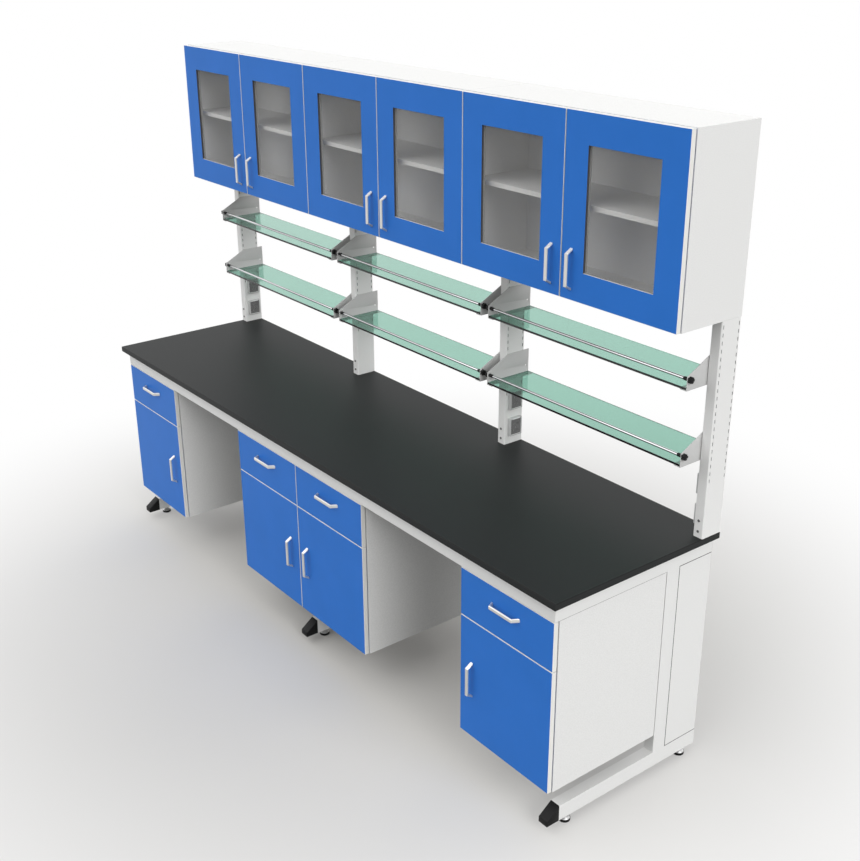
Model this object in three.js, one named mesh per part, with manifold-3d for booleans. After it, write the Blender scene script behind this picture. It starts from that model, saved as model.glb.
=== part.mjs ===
// Laboratory wall bench with a reagent shelf.
// Millimetres, +Z up, the user stands on the -Y side and faces +Y.
// The bench is laid out with X from its left end, Y from the worktop's front edge and
// Z from the floor; the last lines move the origin to the middle of its footprint.

import * as THREE from 'three';
import { mergeVertices } from 'three/addons/utils/BufferGeometryUtils.js';
import Module from 'manifold-3d';

const wasm = await Module();
wasm.setup();

// Clearance between pieces that seat on each other
const SEAT = 0.3;

// Worktop
const BENCH_LENGTH = 3000;
const BENCH_DEPTH = 750;
const WORK_HEIGHT = 900;
const TOP_THICKNESS = 25;
const TOP_OVERHANG = 25; // past the frame at the front and at both ends
const TOP_CHAMFER = 2;

// Steel frame: three C-frames tied by a front and a rear rail
const TUBE_WIDTH = 40;
const TUBE_HEIGHT = 60;
const TUBE_WALL = 2;
const REAR_SETBACK = 2; // frame short of the worktop's back edge
const FOOT_RAISE = 30; // underside of the foot tube above the floor
const CAP_SETBACK = 3; // nose of the foot cap behind the front rail's face
const CAP_LENGTH = 54;
const CAP_NOSE = 20; // height of the cap's blunt front
const PAD_RADIUS = 20;
const PAD_RIM = 10;
const PAD_HEIGHT = 17;
const STEM_RADIUS = 6;
const PAD_SIDES = 10;
const PAD_FRONT_INSET = 45; // from the front end of the foot tube
const PAD_REAR_INSET = 54; // from its rear end
const COVER_THICKNESS = 18; // service cover behind each end upright
const COVER_GROOVE = 2;

// Base cabinets, counted in columns of one drawer above one door
const COLUMN_WIDTH = 450;
const CABINET_HEIGHT = 650;
const CABINET_DEPTH = 480;
const UPRIGHT_CLEARANCE = 3; // between a cabinet's back and the upright
const BOARD = 16;
const BACK_BOARD = 6;

// Fronts: overlay doors and drawer fronts
const FRONT_THICKNESS = 18;
const FRONT_CHAMFER = 1;
const FRONT_STANDOFF = 3; // bumper gap in front of the carcass
const FRONT_GAP = 3; // between neighbouring fronts
const DRAWER_FRONT_HEIGHT = 177;

// Drawer boxes and their runners
const DRAWER_BACK_ROOM = 57; // behind the box
const DRAWER_HEADROOM = 32; // above the box
const DRAWER_SIDE = 12;
const DRAWER_BOTTOM = 8;
const DRAWER_LIFT = 15; // box above the board below it
const RUNNER_SPACE = 13; // between the box and the cabinet wall
const RUNNER_WALL = 2;
const RUNNER_RIB = 20; // height of the rib that slides in the channel
const RUNNER_RISE = 30; // middle of the runner above the underside of the box

// Hinge arms on the carcass, two to a door
const HINGE_WIDTH = 14;
const HINGE_HEIGHT = 18;
const HINGE_LENGTH = 62;
const HINGE_PLATE = 4;
const HINGE_PLATE_HEIGHT = 46;
const HINGE_INSET = 90; // from the ends of the door

// Bow handles
const HANDLE_LENGTH = 138; // over the feet
const HANDLE_BAR = 108; // over the bar
const HANDLE_PROJECTION = 25;
const HANDLE_THICKNESS = 7;
const HANDLE_WIDTH = 14;
const HANDLE_CHAMFER = 2;
const DRAWER_HANDLE_DROP = 66; // below the top of the drawer front
const BASE_HANDLE_EDGE = 60; // from the free edge of the door
const WALL_HANDLE_EDGE = 45;
const WALL_HANDLE_RISE = 101; // above the lower edge of the door

// Slotted shelf posts
const POST_COUNT = 4;
const POST_WIDTH = 40;
const POST_DEPTH = 90;
const POST_HEIGHT = 750;
const POST_WALL = 2;
const POST_CORNER = 3;
const SLOT_WIDTH = 3;
const SLOT_LENGTH = 13;
const SLOT_PITCH = 26;
const SLOT_INSET = 8; // from the post's front and back faces
const SLOT_RISE = 210; // middle of the lowest slot above the worktop
const SLOT_HEADROOM = 20; // least distance of a slot's middle from the post's top

// Power sockets on the posts: 1 on the right side, -1 on the left side, 0 for none
const SOCKET_SIDES = [1, 0, 1, -1];
const SOCKET_RISES = [72, 181]; // middles above the worktop
const SOCKET_WIDTH = 60;
const SOCKET_HEIGHT = 72;
const SOCKET_DEPTH = 15;
const SOCKET_CHAMFER = 1.5;
const SOCKET_RIM = 5;
const SOCKET_RECESS = 2;
const SOCKET_TAB = 34;
const SOCKET_TAB_HEIGHT = 4;
const PIN_WIDTH = 2.5;
const PIN_LENGTH = 7;
const PIN_DEPTH = 8;
const PIN_PLACES = [[-9, 12], [9, 12], [-9, -15], [9, -15], [0, -4]];

// Hook-on shelf cradles
const SHELF_REACH = 93; // in front of the posts
const SHELF_OVERHANG = 22; // behind them
const PLATE_THICKNESS = 2.5;
const PLATE_HEIGHT = 100;
const PLATE_NOSE = 48; // height of the plate's front edge
const PLATE_SLOPE = 101; // run of its sloping edge
const PLATE_HOLE_RADIUS = 3;
const PLATE_HOLE_INSET = 14; // from the back edge
const PLATE_HOLE_RISE = 36;
const FLANGE_WIDTH = 25;
const HOOK_RISE = 16; // lower slot's middle above the plate's lower edge
const HOOK_SLOTS = [0, 2]; // slots used, counted from the lower one
const HOOK_CLEARANCE = 0.5; // on each side of a hook in its slot
const HOOK_NIB = 2.4; // thickness of the part behind the wall
const HOOK_HEIGHT = 6;
const HOOK_DROP = 5;
const LOWER_TIER_SLOT = 3; // slot of the lower hook, counted up from the lowest
const UPPER_TIER_SLOT = 7; // the same, counted down from the highest
const GLASS_THICKNESS = 8;
const GLASS_CHAMFER = 1;
const ROD_RADIUS = 5;
const ROD_SETBACK = 10; // from the plate's front edge
const ROD_RISE = 37; // above its lower edge
const FERRULE_RADIUS = 6.5;
const FERRULE_LENGTH = 18;
const KNOB_RADIUS = 11;
const KNOB_LENGTH = 12;
const KNOB_LOBES = 5;
const KNOB_WAIST = 0.76; // share of the radius between two lobes
const ROUND_SIDES = 8; // of rods, ferrules and small holes

// Wall cabinet on the posts
const UNIT_COUNT = 3;
const DOORS_PER_UNIT = 2;
const WALL_HEIGHT = 600;
const WALL_DEPTH = 277;
const SHELF_SETBACK = 20;
const WINDOW_WIDTH = 296;
const WINDOW_HEIGHT = 400;
const PANE_THICKNESS = 5;
const PANE_LAP = 8;
const REBATE_DEPTH = 13;

// Finishes
const FINISHES = {
  resin: { color: 0x303133, roughness: 0.45, metalness: 0 },
  steel_white: { color: 0xe6e6e4, roughness: 0.4, metalness: 0.1 },
  board_white: { color: 0xe4e4e2, roughness: 0.5, metalness: 0 },
  laminate_blue: { color: 0x3a69b8, roughness: 0.4, metalness: 0 },
  handle: { color: 0xd9d7d0, roughness: 0.3, metalness: 0.8 },
  shelf_glass: { color: 0x9fd0bf, roughness: 0.05, metalness: 0, transparent: true, opacity: 0.6 },
  door_glass: { color: 0x8c8f92, roughness: 0.05, metalness: 0, transparent: true, opacity: 0.35 },
};

// Places that several pieces share
const frameLeft = TOP_OVERHANG;
const frameRight = BENCH_LENGTH - TOP_OVERHANG;
const frameFront = TOP_OVERHANG;
const frameBack = BENCH_DEPTH - REAR_SETBACK;
const armTop = WORK_HEIGHT - TOP_THICKNESS - SEAT;
const armBottom = armTop - TUBE_HEIGHT;
const footTop = FOOT_RAISE + TUBE_HEIGHT;
const carcassFront = frameFront + FRONT_THICKNESS + FRONT_STANDOFF;
const carcassBack = carcassFront + CABINET_DEPTH;
const carcassTop = armBottom - SEAT;
const carcassBottom = carcassTop - CABINET_HEIGHT;
const uprightFront = carcassBack + UPRIGHT_CLEARANCE;
const uprightBack = uprightFront + TUBE_HEIGHT;
const drawerTop = carcassTop - FRONT_GAP;
const drawerFoot = drawerTop - DRAWER_FRONT_HEIGHT;
const doorTop = drawerFoot - FRONT_GAP;
const doorFoot = carcassBottom + FRONT_GAP;
const dividerTop = drawerFoot - FRONT_GAP / 2 + BOARD / 2;
const drawerBoxFoot = dividerTop + DRAWER_LIFT;
const drawerBoxTop = carcassTop - BOARD - DRAWER_HEADROOM;
const drawerBoxBack = carcassBack - BACK_BOARD - DRAWER_BACK_ROOM;
const postBack = BENCH_DEPTH;
const postFront = postBack - POST_DEPTH;
const postFoot = WORK_HEIGHT + SEAT;
const postTop = WORK_HEIGHT + POST_HEIGHT;
const postSpacing = (BENCH_LENGTH - POST_WIDTH) / (POST_COUNT - 1);
const shelfFront = postFront - SHELF_REACH;
const shelfBack = postBack + SHELF_OVERHANG;
const slotCount = 1 + Math.floor((POST_HEIGHT - SLOT_RISE - SLOT_HEADROOM) / SLOT_PITCH);
const tierSlots = { lower: LOWER_TIER_SLOT, upper: slotCount - 1 - UPPER_TIER_SLOT };
const wallFoot = postTop + SEAT;
const wallTop = wallFoot + WALL_HEIGHT;
const wallCarcassFront = BENCH_DEPTH - WALL_DEPTH;
const wallDoorFront = wallCarcassFront - FRONT_STANDOFF - FRONT_THICKNESS;
const unitWidth = BENCH_LENGTH / UNIT_COUNT;
const wallDoorPitch = unitWidth / DOORS_PER_UNIT;

const sorted = (a, b) => [Math.min(a, b), Math.max(a, b)];
const slotHeight = (index) => WORK_HEIGHT + SLOT_RISE + index * SLOT_PITCH;
const postMiddle = (index) => POST_WIDTH / 2 + index * postSpacing;

// Closed meshes to solids and back

function solid(geometry) {
  geometry.deleteAttribute('normal');
  geometry.deleteAttribute('uv');
  const merged = mergeVertices(geometry);
  return new wasm.Manifold(new wasm.Mesh({
    numProp: 3,
    vertProperties: Float32Array.from(merged.attributes.position.array),
    triVerts: Uint32Array.from(merged.index.array),
  }));
}

function join(parts) {
  return parts.reduce((whole, part) => whole.add(part));
}

function cut(body, tools) {
  return tools.reduce((whole, tool) => whole.subtract(tool), body);
}

function node(name, body, finish) {
  const mesh = body.getMesh();
  const geometry = new THREE.BufferGeometry();
  geometry.setAttribute('position', new THREE.BufferAttribute(mesh.vertProperties, 3));
  geometry.setIndex(new THREE.BufferAttribute(mesh.triVerts, 1));
  geometry.computeVertexNormals();
  const piece = new THREE.Mesh(geometry, new THREE.MeshStandardMaterial(FINISHES[finish]));
  piece.name = name;
  return piece;
}

// Basic forms

function block(x, y, z) {
  const geometry = new THREE.BoxGeometry(x[1] - x[0], y[1] - y[0], z[1] - z[0]);
  geometry.translate((x[0] + x[1]) / 2, (y[0] + y[1]) / 2, (z[0] + z[1]) / 2);
  return solid(geometry);
}

const X = new THREE.Vector3(1, 0, 0);
const Y = new THREE.Vector3(0, 1, 0);
const Z = new THREE.Vector3(0, 0, 1);

// An outline along X is drawn in (y, z), along Y in (z, x) and along Z in (x, y)
const ALONG = {
  x: new THREE.Matrix4().makeBasis(Y, Z, X),
  y: new THREE.Matrix4().makeBasis(Z, X, Y),
  z: new THREE.Matrix4().makeBasis(X, Y, Z),
};

const points = (outline) => outline.map(([u, v]) => new THREE.Vector2(u, v));

function extruded(outline, axis, [from, to], chamfer = 0, holes = []) {
  const shape = new THREE.Shape(points(outline));
  shape.holes = holes.map((hole) => new THREE.Path(points(hole)));
  const geometry = new THREE.ExtrudeGeometry(shape, {
    depth: to - from - 2 * chamfer,
    bevelEnabled: chamfer > 0,
    bevelThickness: chamfer,
    bevelSize: chamfer,
    bevelOffset: -chamfer,
    bevelSegments: 1,
  });
  geometry.translate(0, 0, from + chamfer);
  geometry.applyMatrix4(ALONG[axis]);
  return solid(geometry);
}

const rectangle = ([u0, u1], [v0, v1]) => [[u0, v0], [u1, v0], [u1, v1], [u0, v1]];

function ring(u, v, radius) {
  return Array.from({ length: ROUND_SIDES }, (unused, i) => {
    const turn = (2 * Math.PI * i) / ROUND_SIDES;
    return [u + radius * Math.cos(turn), v + radius * Math.sin(turn)];
  });
}

// Worktop

function worktop() {
  const plan = rectangle([0, BENCH_LENGTH], [0, BENCH_DEPTH]);
  return extruded(plan, 'z', [WORK_HEIGHT - TOP_THICKNESS, WORK_HEIGHT], TOP_CHAMFER);
}

// Rails: square-cut inside, mitred at the corners, hollow

function rail(outerFace, inward) {
  const innerFace = outerFace + inward * TUBE_WIDTH;
  const plan = [
    [frameLeft, outerFace],
    [frameRight, outerFace],
    [frameRight - TUBE_WIDTH, innerFace],
    [frameLeft + TUBE_WIDTH, innerFace],
  ];
  const bore = block(
    [frameLeft - TUBE_WALL, frameRight + TUBE_WALL],
    sorted(outerFace + inward * TUBE_WALL, innerFace - inward * TUBE_WALL),
    [armBottom + TUBE_WALL, armTop - TUBE_WALL],
  );
  return cut(extruded(plan, 'z', [armBottom, armTop]), [bore]);
}

// C-frames: a foot, an upright and an arm of one tube, welded, on levelling pads

function armPlan(left, side) {
  const right = left + TUBE_WIDTH;
  const butt = [frameFront + TUBE_WIDTH + SEAT, frameBack - TUBE_WIDTH - SEAT];
  if (side === 0) return rectangle([left, right], butt);
  const mitreGap = SEAT * Math.SQRT2;
  const outer = side < 0 ? left : right;
  const inner = side < 0 ? right : left;
  return [
    [outer, frameFront + mitreGap],
    [inner, frameFront + TUBE_WIDTH + mitreGap],
    [inner, frameBack - TUBE_WIDTH - mitreGap],
    [outer, frameBack - mitreGap],
  ];
}

function levellingPad(x, y) {
  const profile = points([
    [0, 0],
    [PAD_RADIUS, 0],
    [PAD_RADIUS, PAD_RIM],
    [STEM_RADIUS, PAD_HEIGHT],
    [STEM_RADIUS, FOOT_RAISE + TUBE_WALL],
    [0, FOOT_RAISE + TUBE_WALL],
  ]);
  const geometry = new THREE.LatheGeometry(profile, PAD_SIDES);
  geometry.rotateX(Math.PI / 2);
  geometry.translate(x, y, 0);
  return solid(geometry);
}

function serviceCover(left, side) {
  const outer = side < 0 ? left : left + TUBE_WIDTH;
  const groove = outer - side * COVER_GROOVE;
  const inner = outer - side * COVER_THICKNESS;
  const height = [footTop, armBottom];
  const slab = block(sorted(groove, inner), [uprightBack - TUBE_WALL, frameBack], height);
  const face = block(
    sorted(outer, inner),
    [uprightBack + COVER_GROOVE, frameBack],
    [footTop + COVER_GROOVE, armBottom - COVER_GROOVE],
  );
  return slab.add(face);
}

function cFrame(left, side) {
  const width = [left, left + TUBE_WIDTH];
  const bore = [left + TUBE_WALL, left + TUBE_WIDTH - TUBE_WALL];
  const capFront = frameFront + CAP_SETBACK;
  const footFront = capFront + CAP_LENGTH;
  const cap = extruded([
    [capFront, FOOT_RAISE],
    [footFront, FOOT_RAISE],
    [footFront, footTop],
    [capFront, FOOT_RAISE + CAP_NOSE],
  ], 'x', width);
  const middle = left + TUBE_WIDTH / 2;
  const outside = join([
    extruded(armPlan(left, side), 'z', [armBottom, armTop]),
    block(width, [uprightFront, uprightBack], [FOOT_RAISE, armBottom]),
    block(width, [footFront, frameBack], [FOOT_RAISE, footTop]),
    cap,
  ]);
  const inside = join([
    block(bore, [0, BENCH_DEPTH], [armBottom + TUBE_WALL, armTop - TUBE_WALL]),
    block(
      bore,
      [uprightFront + TUBE_WALL, uprightBack - TUBE_WALL],
      [FOOT_RAISE + TUBE_WALL, armBottom + 2 * TUBE_WALL],
    ),
    block(
      bore,
      [footFront, frameBack - TUBE_WALL],
      [FOOT_RAISE + TUBE_WALL, footTop - TUBE_WALL],
    ),
  ]);
  const pieces = [
    outside.subtract(inside),
    levellingPad(middle, footFront + PAD_FRONT_INSET),
    levellingPad(middle, frameBack - PAD_REAR_INSET),
  ];
  if (side !== 0) pieces.push(serviceCover(left, side));
  return join(pieces);
}

// Hinge arms: from a plate on the cabinet wall to just behind the closed door

function hingeArms(wallX, inward, frontY, heights) {
  return heights.map((height) => {
    const arm = block(
      sorted(wallX - inward, wallX + inward * HINGE_WIDTH),
      [frontY - FRONT_STANDOFF + SEAT, frontY + HINGE_LENGTH],
      [height - HINGE_HEIGHT / 2, height + HINGE_HEIGHT / 2],
    );
    const plate = block(
      sorted(wallX - inward, wallX + inward * HINGE_PLATE),
      [frontY + HINGE_LENGTH / 2, frontY + HINGE_LENGTH],
      [height - HINGE_PLATE_HEIGHT / 2, height + HINGE_PLATE_HEIGHT / 2],
    );
    return arm.add(plate);
  });
}

// Base cabinets

function drawerCells(left, columns) {
  const right = left + columns * COLUMN_WIDTH;
  const clear = (right - left - (columns + 1) * BOARD) / columns;
  return Array.from({ length: columns }, (unused, i) => {
    const start = left + BOARD + i * (clear + BOARD);
    return [start, start + clear];
  });
}

function runnerChannel(wallX, inward) {
  const middle = drawerBoxFoot + RUNNER_RISE;
  const half = RUNNER_RIB / 2 + SEAT;
  const lip = wallX + inward * (RUNNER_SPACE - SEAT);
  const web = wallX + inward * RUNNER_WALL;
  const back = wallX - inward;
  const profile = [
    [middle - half - RUNNER_WALL, back],
    [middle - half - RUNNER_WALL, lip],
    [middle - half, lip],
    [middle - half, web],
    [middle + half, web],
    [middle + half, lip],
    [middle + half + RUNNER_WALL, lip],
    [middle + half + RUNNER_WALL, back],
  ];
  return extruded(profile, 'y', [carcassFront, drawerBoxBack]);
}

function baseCabinet(left, columns, hingeWalls) {
  const right = left + columns * COLUMN_WIDTH;
  const depth = [carcassFront - BOARD, carcassBack - BACK_BOARD];
  const cells = drawerCells(left, columns);
  const shell = block([left, right], [carcassFront, carcassBack], [carcassBottom, carcassTop]);
  const hollows = cells.map((cell) => block(cell, depth, [dividerTop, carcassTop - BOARD]));
  hollows.push(block(
    [left + BOARD, right - BOARD],
    depth,
    [carcassBottom + BOARD, dividerTop - BOARD],
  ));
  const heights = [doorFoot + HINGE_INSET, doorTop - HINGE_INSET];
  const fittings = cells.flatMap(([from, to]) => [runnerChannel(from, 1), runnerChannel(to, -1)]);
  hingeWalls.forEach((inward) => {
    const wallX = inward > 0 ? left + BOARD : right - BOARD;
    fittings.push(...hingeArms(wallX, inward, carcassFront, heights));
  });
  return join([cut(shell, hollows), ...fittings]);
}

// Handles: a bent flat bar, drawn with its feet on v = 0 and its bar towards -v

function handleOutline(middle, face) {
  const foot = HANDLE_LENGTH / 2;
  const bar = HANDLE_BAR / 2;
  const lean = (foot - bar) / HANDLE_PROJECTION;
  const slant = HANDLE_THICKNESS * Math.hypot(1, lean);
  const inner = HANDLE_PROJECTION - HANDLE_THICKNESS;
  const outward = [
    [foot, 0],
    [bar, HANDLE_PROJECTION],
    [-bar, HANDLE_PROJECTION],
    [-foot, 0],
    [slant - foot, 0],
    [slant - foot + lean * inner, inner],
    [foot - slant - lean * inner, inner],
    [foot - slant, 0],
  ];
  return outward.map(([along, out]) => [middle + along, face - out]);
}

function uprightHandle(x, face, z) {
  const outline = handleOutline(z, face - SEAT).map(([along, out]) => [out, along]);
  return extruded(outline, 'x', [x - HANDLE_WIDTH / 2, x + HANDLE_WIDTH / 2], HANDLE_CHAMFER);
}

function levelHandle(x, face, z) {
  const outline = handleOutline(x, face - SEAT);
  return extruded(outline, 'z', [z - HANDLE_WIDTH / 2, z + HANDLE_WIDTH / 2], HANDLE_CHAMFER);
}

// Drawers: the front and the open box behind it, with a rib on each side for the runner

function drawer(column, cell) {
  const front = extruded(
    rectangle([drawerFoot, drawerTop], [column[0] + FRONT_GAP / 2, column[1] - FRONT_GAP / 2]),
    'y',
    [frameFront, frameFront + FRONT_THICKNESS],
    FRONT_CHAMFER,
  );
  const width = [cell[0] + RUNNER_SPACE, cell[1] - RUNNER_SPACE];
  const boxFront = frameFront + FRONT_THICKNESS;
  const box = block(
    width,
    [boxFront - FRONT_CHAMFER, drawerBoxBack],
    [drawerBoxFoot, drawerBoxTop],
  );
  const hollow = block(
    [width[0] + DRAWER_SIDE, width[1] - DRAWER_SIDE],
    [boxFront + DRAWER_SIDE, drawerBoxBack - DRAWER_SIDE],
    [drawerBoxFoot + DRAWER_BOTTOM, drawerBoxTop + BOARD],
  );
  const ribMiddle = drawerBoxFoot + RUNNER_RISE;
  const ribs = [[width[0], cell[0], 1], [width[1], cell[1], -1]].map(([side, wall, inward]) => block(
    sorted(side + inward, wall + inward * (RUNNER_WALL + SEAT)),
    [carcassFront + FRONT_STANDOFF, drawerBoxBack],
    [ribMiddle - RUNNER_RIB / 2, ribMiddle + RUNNER_RIB / 2],
  ));
  return join([front, box.subtract(hollow), ...ribs]);
}

// Doors

function doorBoard(width, height, frontY) {
  return extruded(
    rectangle(height, width),
    'y',
    [frontY, frontY + FRONT_THICKNESS],
    FRONT_CHAMFER,
  );
}

function windowFrame(middleX, middleZ, margin) {
  const halfWidth = WINDOW_WIDTH / 2 + margin;
  const halfHeight = WINDOW_HEIGHT / 2 + margin;
  return [[middleX - halfWidth, middleX + halfWidth], [middleZ - halfHeight, middleZ + halfHeight]];
}

function glazedDoor(width, height) {
  const middle = [(width[0] + width[1]) / 2, (height[0] + height[1]) / 2];
  const through = windowFrame(...middle, 0);
  const rebate = windowFrame(...middle, PANE_LAP + SEAT);
  const back = wallDoorFront + FRONT_THICKNESS;
  return cut(doorBoard(width, height, wallDoorFront), [
    block(through[0], [wallDoorFront - BOARD, back + BOARD], through[1]),
    block(rebate[0], [back - REBATE_DEPTH, back + BOARD], rebate[1]),
  ]);
}

function doorPane(width, height) {
  const middle = [(width[0] + width[1]) / 2, (height[0] + height[1]) / 2];
  const outline = windowFrame(...middle, PANE_LAP);
  const shoulder = wallDoorFront + FRONT_THICKNESS - REBATE_DEPTH + SEAT;
  return block(outline[0], [shoulder, shoulder + PANE_THICKNESS], outline[1]);
}

// Shelf posts: slotted tubes with a closed top and power sockets on the side

function powerSocket(face, side, height) {
  const middle = (postFront + postBack) / 2;
  const across = (inset) => [middle - SOCKET_WIDTH / 2 + inset, middle + SOCKET_WIDTH / 2 - inset];
  const upward = (inset) => [height - SOCKET_HEIGHT / 2 + inset, height + SOCKET_HEIGHT / 2 - inset];
  const outer = face + side * SOCKET_DEPTH;
  const floor = outer - side * SOCKET_RECESS;
  const body = extruded(
    rectangle(across(0), upward(0)),
    'x',
    sorted(face - side * SOCKET_CHAMFER, outer),
    SOCKET_CHAMFER,
  );
  const recess = block(sorted(floor, outer + side), across(SOCKET_RIM), upward(SOCKET_RIM));
  const pins = PIN_PLACES.map(([dy, dz]) => block(
    sorted(floor - side * PIN_DEPTH, floor + side),
    [middle + dy - PIN_WIDTH / 2, middle + dy + PIN_WIDTH / 2],
    [height + dz - PIN_LENGTH / 2, height + dz + PIN_LENGTH / 2],
  ));
  const tab = block(
    sorted(outer - side * SOCKET_DEPTH / 2, outer + side * SOCKET_RECESS),
    [middle - SOCKET_TAB / 2, middle + SOCKET_TAB / 2],
    [upward(0)[1] - SOCKET_TAB_HEIGHT, upward(0)[1] - SOCKET_CHAMFER],
  );
  return cut(body, [recess, ...pins]).add(tab);
}

function chamferedPlan([u0, u1], [v0, v1], corner) {
  return [
    [u0 + corner, v0], [u1 - corner, v0], [u1, v0 + corner], [u1, v1 - corner],
    [u1 - corner, v1], [u0 + corner, v1], [u0, v1 - corner], [u0, v0 + corner],
  ];
}

function shelfPost(index) {
  const left = postMiddle(index) - POST_WIDTH / 2;
  const right = left + POST_WIDTH;
  const tube = extruded(
    chamferedPlan([left, right], [postFront, postBack], POST_CORNER),
    'z',
    [postFoot, postTop],
  );
  const bore = block(
    [left + POST_WALL, right - POST_WALL],
    [postFront + POST_WALL, postBack - POST_WALL],
    [postFoot - POST_WALL, postTop - POST_WALL],
  );
  const slots = [];
  for (const column of [postFront + SLOT_INSET, postBack - SLOT_INSET]) {
    for (let i = 0; i < slotCount; i += 1) {
      slots.push(block(
        [left - POST_WALL, right + POST_WALL],
        [column - SLOT_WIDTH / 2, column + SLOT_WIDTH / 2],
        [slotHeight(i) - SLOT_LENGTH / 2, slotHeight(i) + SLOT_LENGTH / 2],
      ));
    }
  }
  const side = SOCKET_SIDES[index] ?? 0;
  const face = side > 0 ? right : left;
  const sockets = side === 0 ? [] : SOCKET_RISES.map(
    (rise) => powerSocket(face, side, WORK_HEIGHT + rise),
  );
  return join([cut(tube, [bore, join(slots)]), ...sockets]);
}

// Shelf cradles: two hook-on plates with a flange under the glass, tied by a guard rod

function cradlePlate(face, inward, foot) {
  const outer = face + inward * SEAT;
  const inner = outer + inward * PLATE_THICKNESS;
  const holeY = shelfBack - PLATE_HOLE_INSET;
  const plate = extruded([
    [shelfFront, foot],
    [shelfBack, foot],
    [shelfBack, foot + PLATE_HEIGHT],
    [shelfFront + PLATE_SLOPE, foot + PLATE_HEIGHT],
    [shelfFront, foot + PLATE_NOSE],
  ], 'x', sorted(outer, inner), 0, [ring(holeY, foot + PLATE_HOLE_RISE, PLATE_HOLE_RADIUS)]);
  const flange = block(
    sorted(outer, inner + inward * FLANGE_WIDTH),
    [shelfFront, shelfBack],
    [foot, foot + PLATE_THICKNESS],
  );
  return [plate, flange, ...cradleHooks(face, inward, foot)];
}

// Each hook passes the post's wall in a slot and drops behind it
function cradleHooks(face, inward, foot) {
  const behind = face - inward * (POST_WALL + SEAT);
  const tip = behind - inward * HOOK_NIB;
  const root = face + inward * (SEAT + PLATE_THICKNESS / 2);
  const half = SLOT_WIDTH / 2 - HOOK_CLEARANCE;
  const hooks = [];
  for (const column of [postFront + SLOT_INSET, postBack - SLOT_INSET]) {
    for (const step of HOOK_SLOTS) {
      const seat = foot + HOOK_RISE + step * SLOT_PITCH - SLOT_LENGTH / 2 + SEAT;
      hooks.push(extruded([
        [seat, root],
        [seat, behind],
        [seat - HOOK_DROP, behind],
        [seat - HOOK_DROP, tip],
        [seat + HOOK_HEIGHT, tip],
        [seat + HOOK_HEIGHT, root],
      ], 'y', [column - half, column + half]));
    }
  }
  return hooks;
}

function knobOutline(y, z) {
  const steps = KNOB_LOBES * 2;
  return Array.from({ length: steps }, (unused, i) => {
    const turn = (2 * Math.PI * i) / steps;
    const radius = KNOB_RADIUS * (i % 2 === 0 ? 1 : KNOB_WAIST);
    return [y + radius * Math.cos(turn), z + radius * Math.sin(turn)];
  });
}

function shelfCradle(bay, foot) {
  const leftFace = postMiddle(bay) + POST_WIDTH / 2;
  const rightFace = postMiddle(bay + 1) - POST_WIDTH / 2;
  const y = shelfFront + ROD_SETBACK;
  const z = foot + ROD_RISE;
  const ends = [leftFace + SEAT, rightFace - SEAT];
  const ferrule = ring(y, z, FERRULE_RADIUS);
  const knob = knobOutline(y, z);
  return join([
    ...cradlePlate(leftFace, 1, foot),
    ...cradlePlate(rightFace, -1, foot),
    extruded(ring(y, z, ROD_RADIUS), 'x', ends),
    extruded(ferrule, 'x', [ends[0], ends[0] + FERRULE_LENGTH]),
    extruded(ferrule, 'x', [ends[1] - FERRULE_LENGTH, ends[1]]),
    extruded(knob, 'x', [ends[0] - KNOB_LENGTH, ends[0]]),
    extruded(knob, 'x', [ends[1], ends[1] + KNOB_LENGTH]),
  ]);
}

function glassShelf(bay, foot) {
  const plate = SEAT + PLATE_THICKNESS + SEAT;
  const left = postMiddle(bay) + POST_WIDTH / 2 + plate;
  const right = postMiddle(bay + 1) - POST_WIDTH / 2 - plate;
  const bottom = foot + PLATE_THICKNESS + SEAT;
  const plan = rectangle([left, right], [shelfFront, shelfBack]);
  return extruded(plan, 'z', [bottom, bottom + GLASS_THICKNESS], GLASS_CHAMFER);
}

// Wall cabinet: a row of open-fronted units, each with a shelf

function wallCabinet() {
  const depth = [wallCarcassFront, BENCH_DEPTH - BACK_BOARD];
  const shell = block([0, BENCH_LENGTH], [wallCarcassFront, BENCH_DEPTH], [wallFoot, wallTop]);
  const middle = (wallFoot + wallTop) / 2;
  const shelfDepth = [wallCarcassFront + SHELF_SETBACK, BENCH_DEPTH - BACK_BOARD / 2];
  const heights = [wallFoot + HINGE_INSET, wallTop - HINGE_INSET];
  const hollows = [];
  const fittings = [];
  for (let unit = 0; unit < UNIT_COUNT; unit += 1) {
    const left = unit * unitWidth + BOARD;
    const right = (unit + 1) * unitWidth - BOARD;
    hollows.push(block(
      [left, right],
      [depth[0] - BOARD, depth[1]],
      [wallFoot + BOARD, wallTop - BOARD],
    ));
    fittings.push(block(
      [left - BOARD / 2, right + BOARD / 2],
      shelfDepth,
      [middle - BOARD / 2, middle + BOARD / 2],
    ));
    fittings.push(...hingeArms(left, 1, wallCarcassFront, heights));
    fittings.push(...hingeArms(right, -1, wallCarcassFront, heights));
  }
  return join([cut(shell, hollows), ...fittings]);
}

// Assembly

const bench = new THREE.Group();
bench.add(node('worktop', worktop(), 'resin'));
bench.add(node('front_rail', rail(frameFront, 1), 'steel_white'));
bench.add(node('rear_rail', rail(frameBack, -1), 'steel_white'));
bench.add(node('c_frame_left', cFrame(frameLeft, -1), 'steel_white'));
bench.add(node('c_frame_middle', cFrame((BENCH_LENGTH - TUBE_WIDTH) / 2, 0), 'steel_white'));
bench.add(node('c_frame_right', cFrame(frameRight - TUBE_WIDTH, 1), 'steel_white'));

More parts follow.
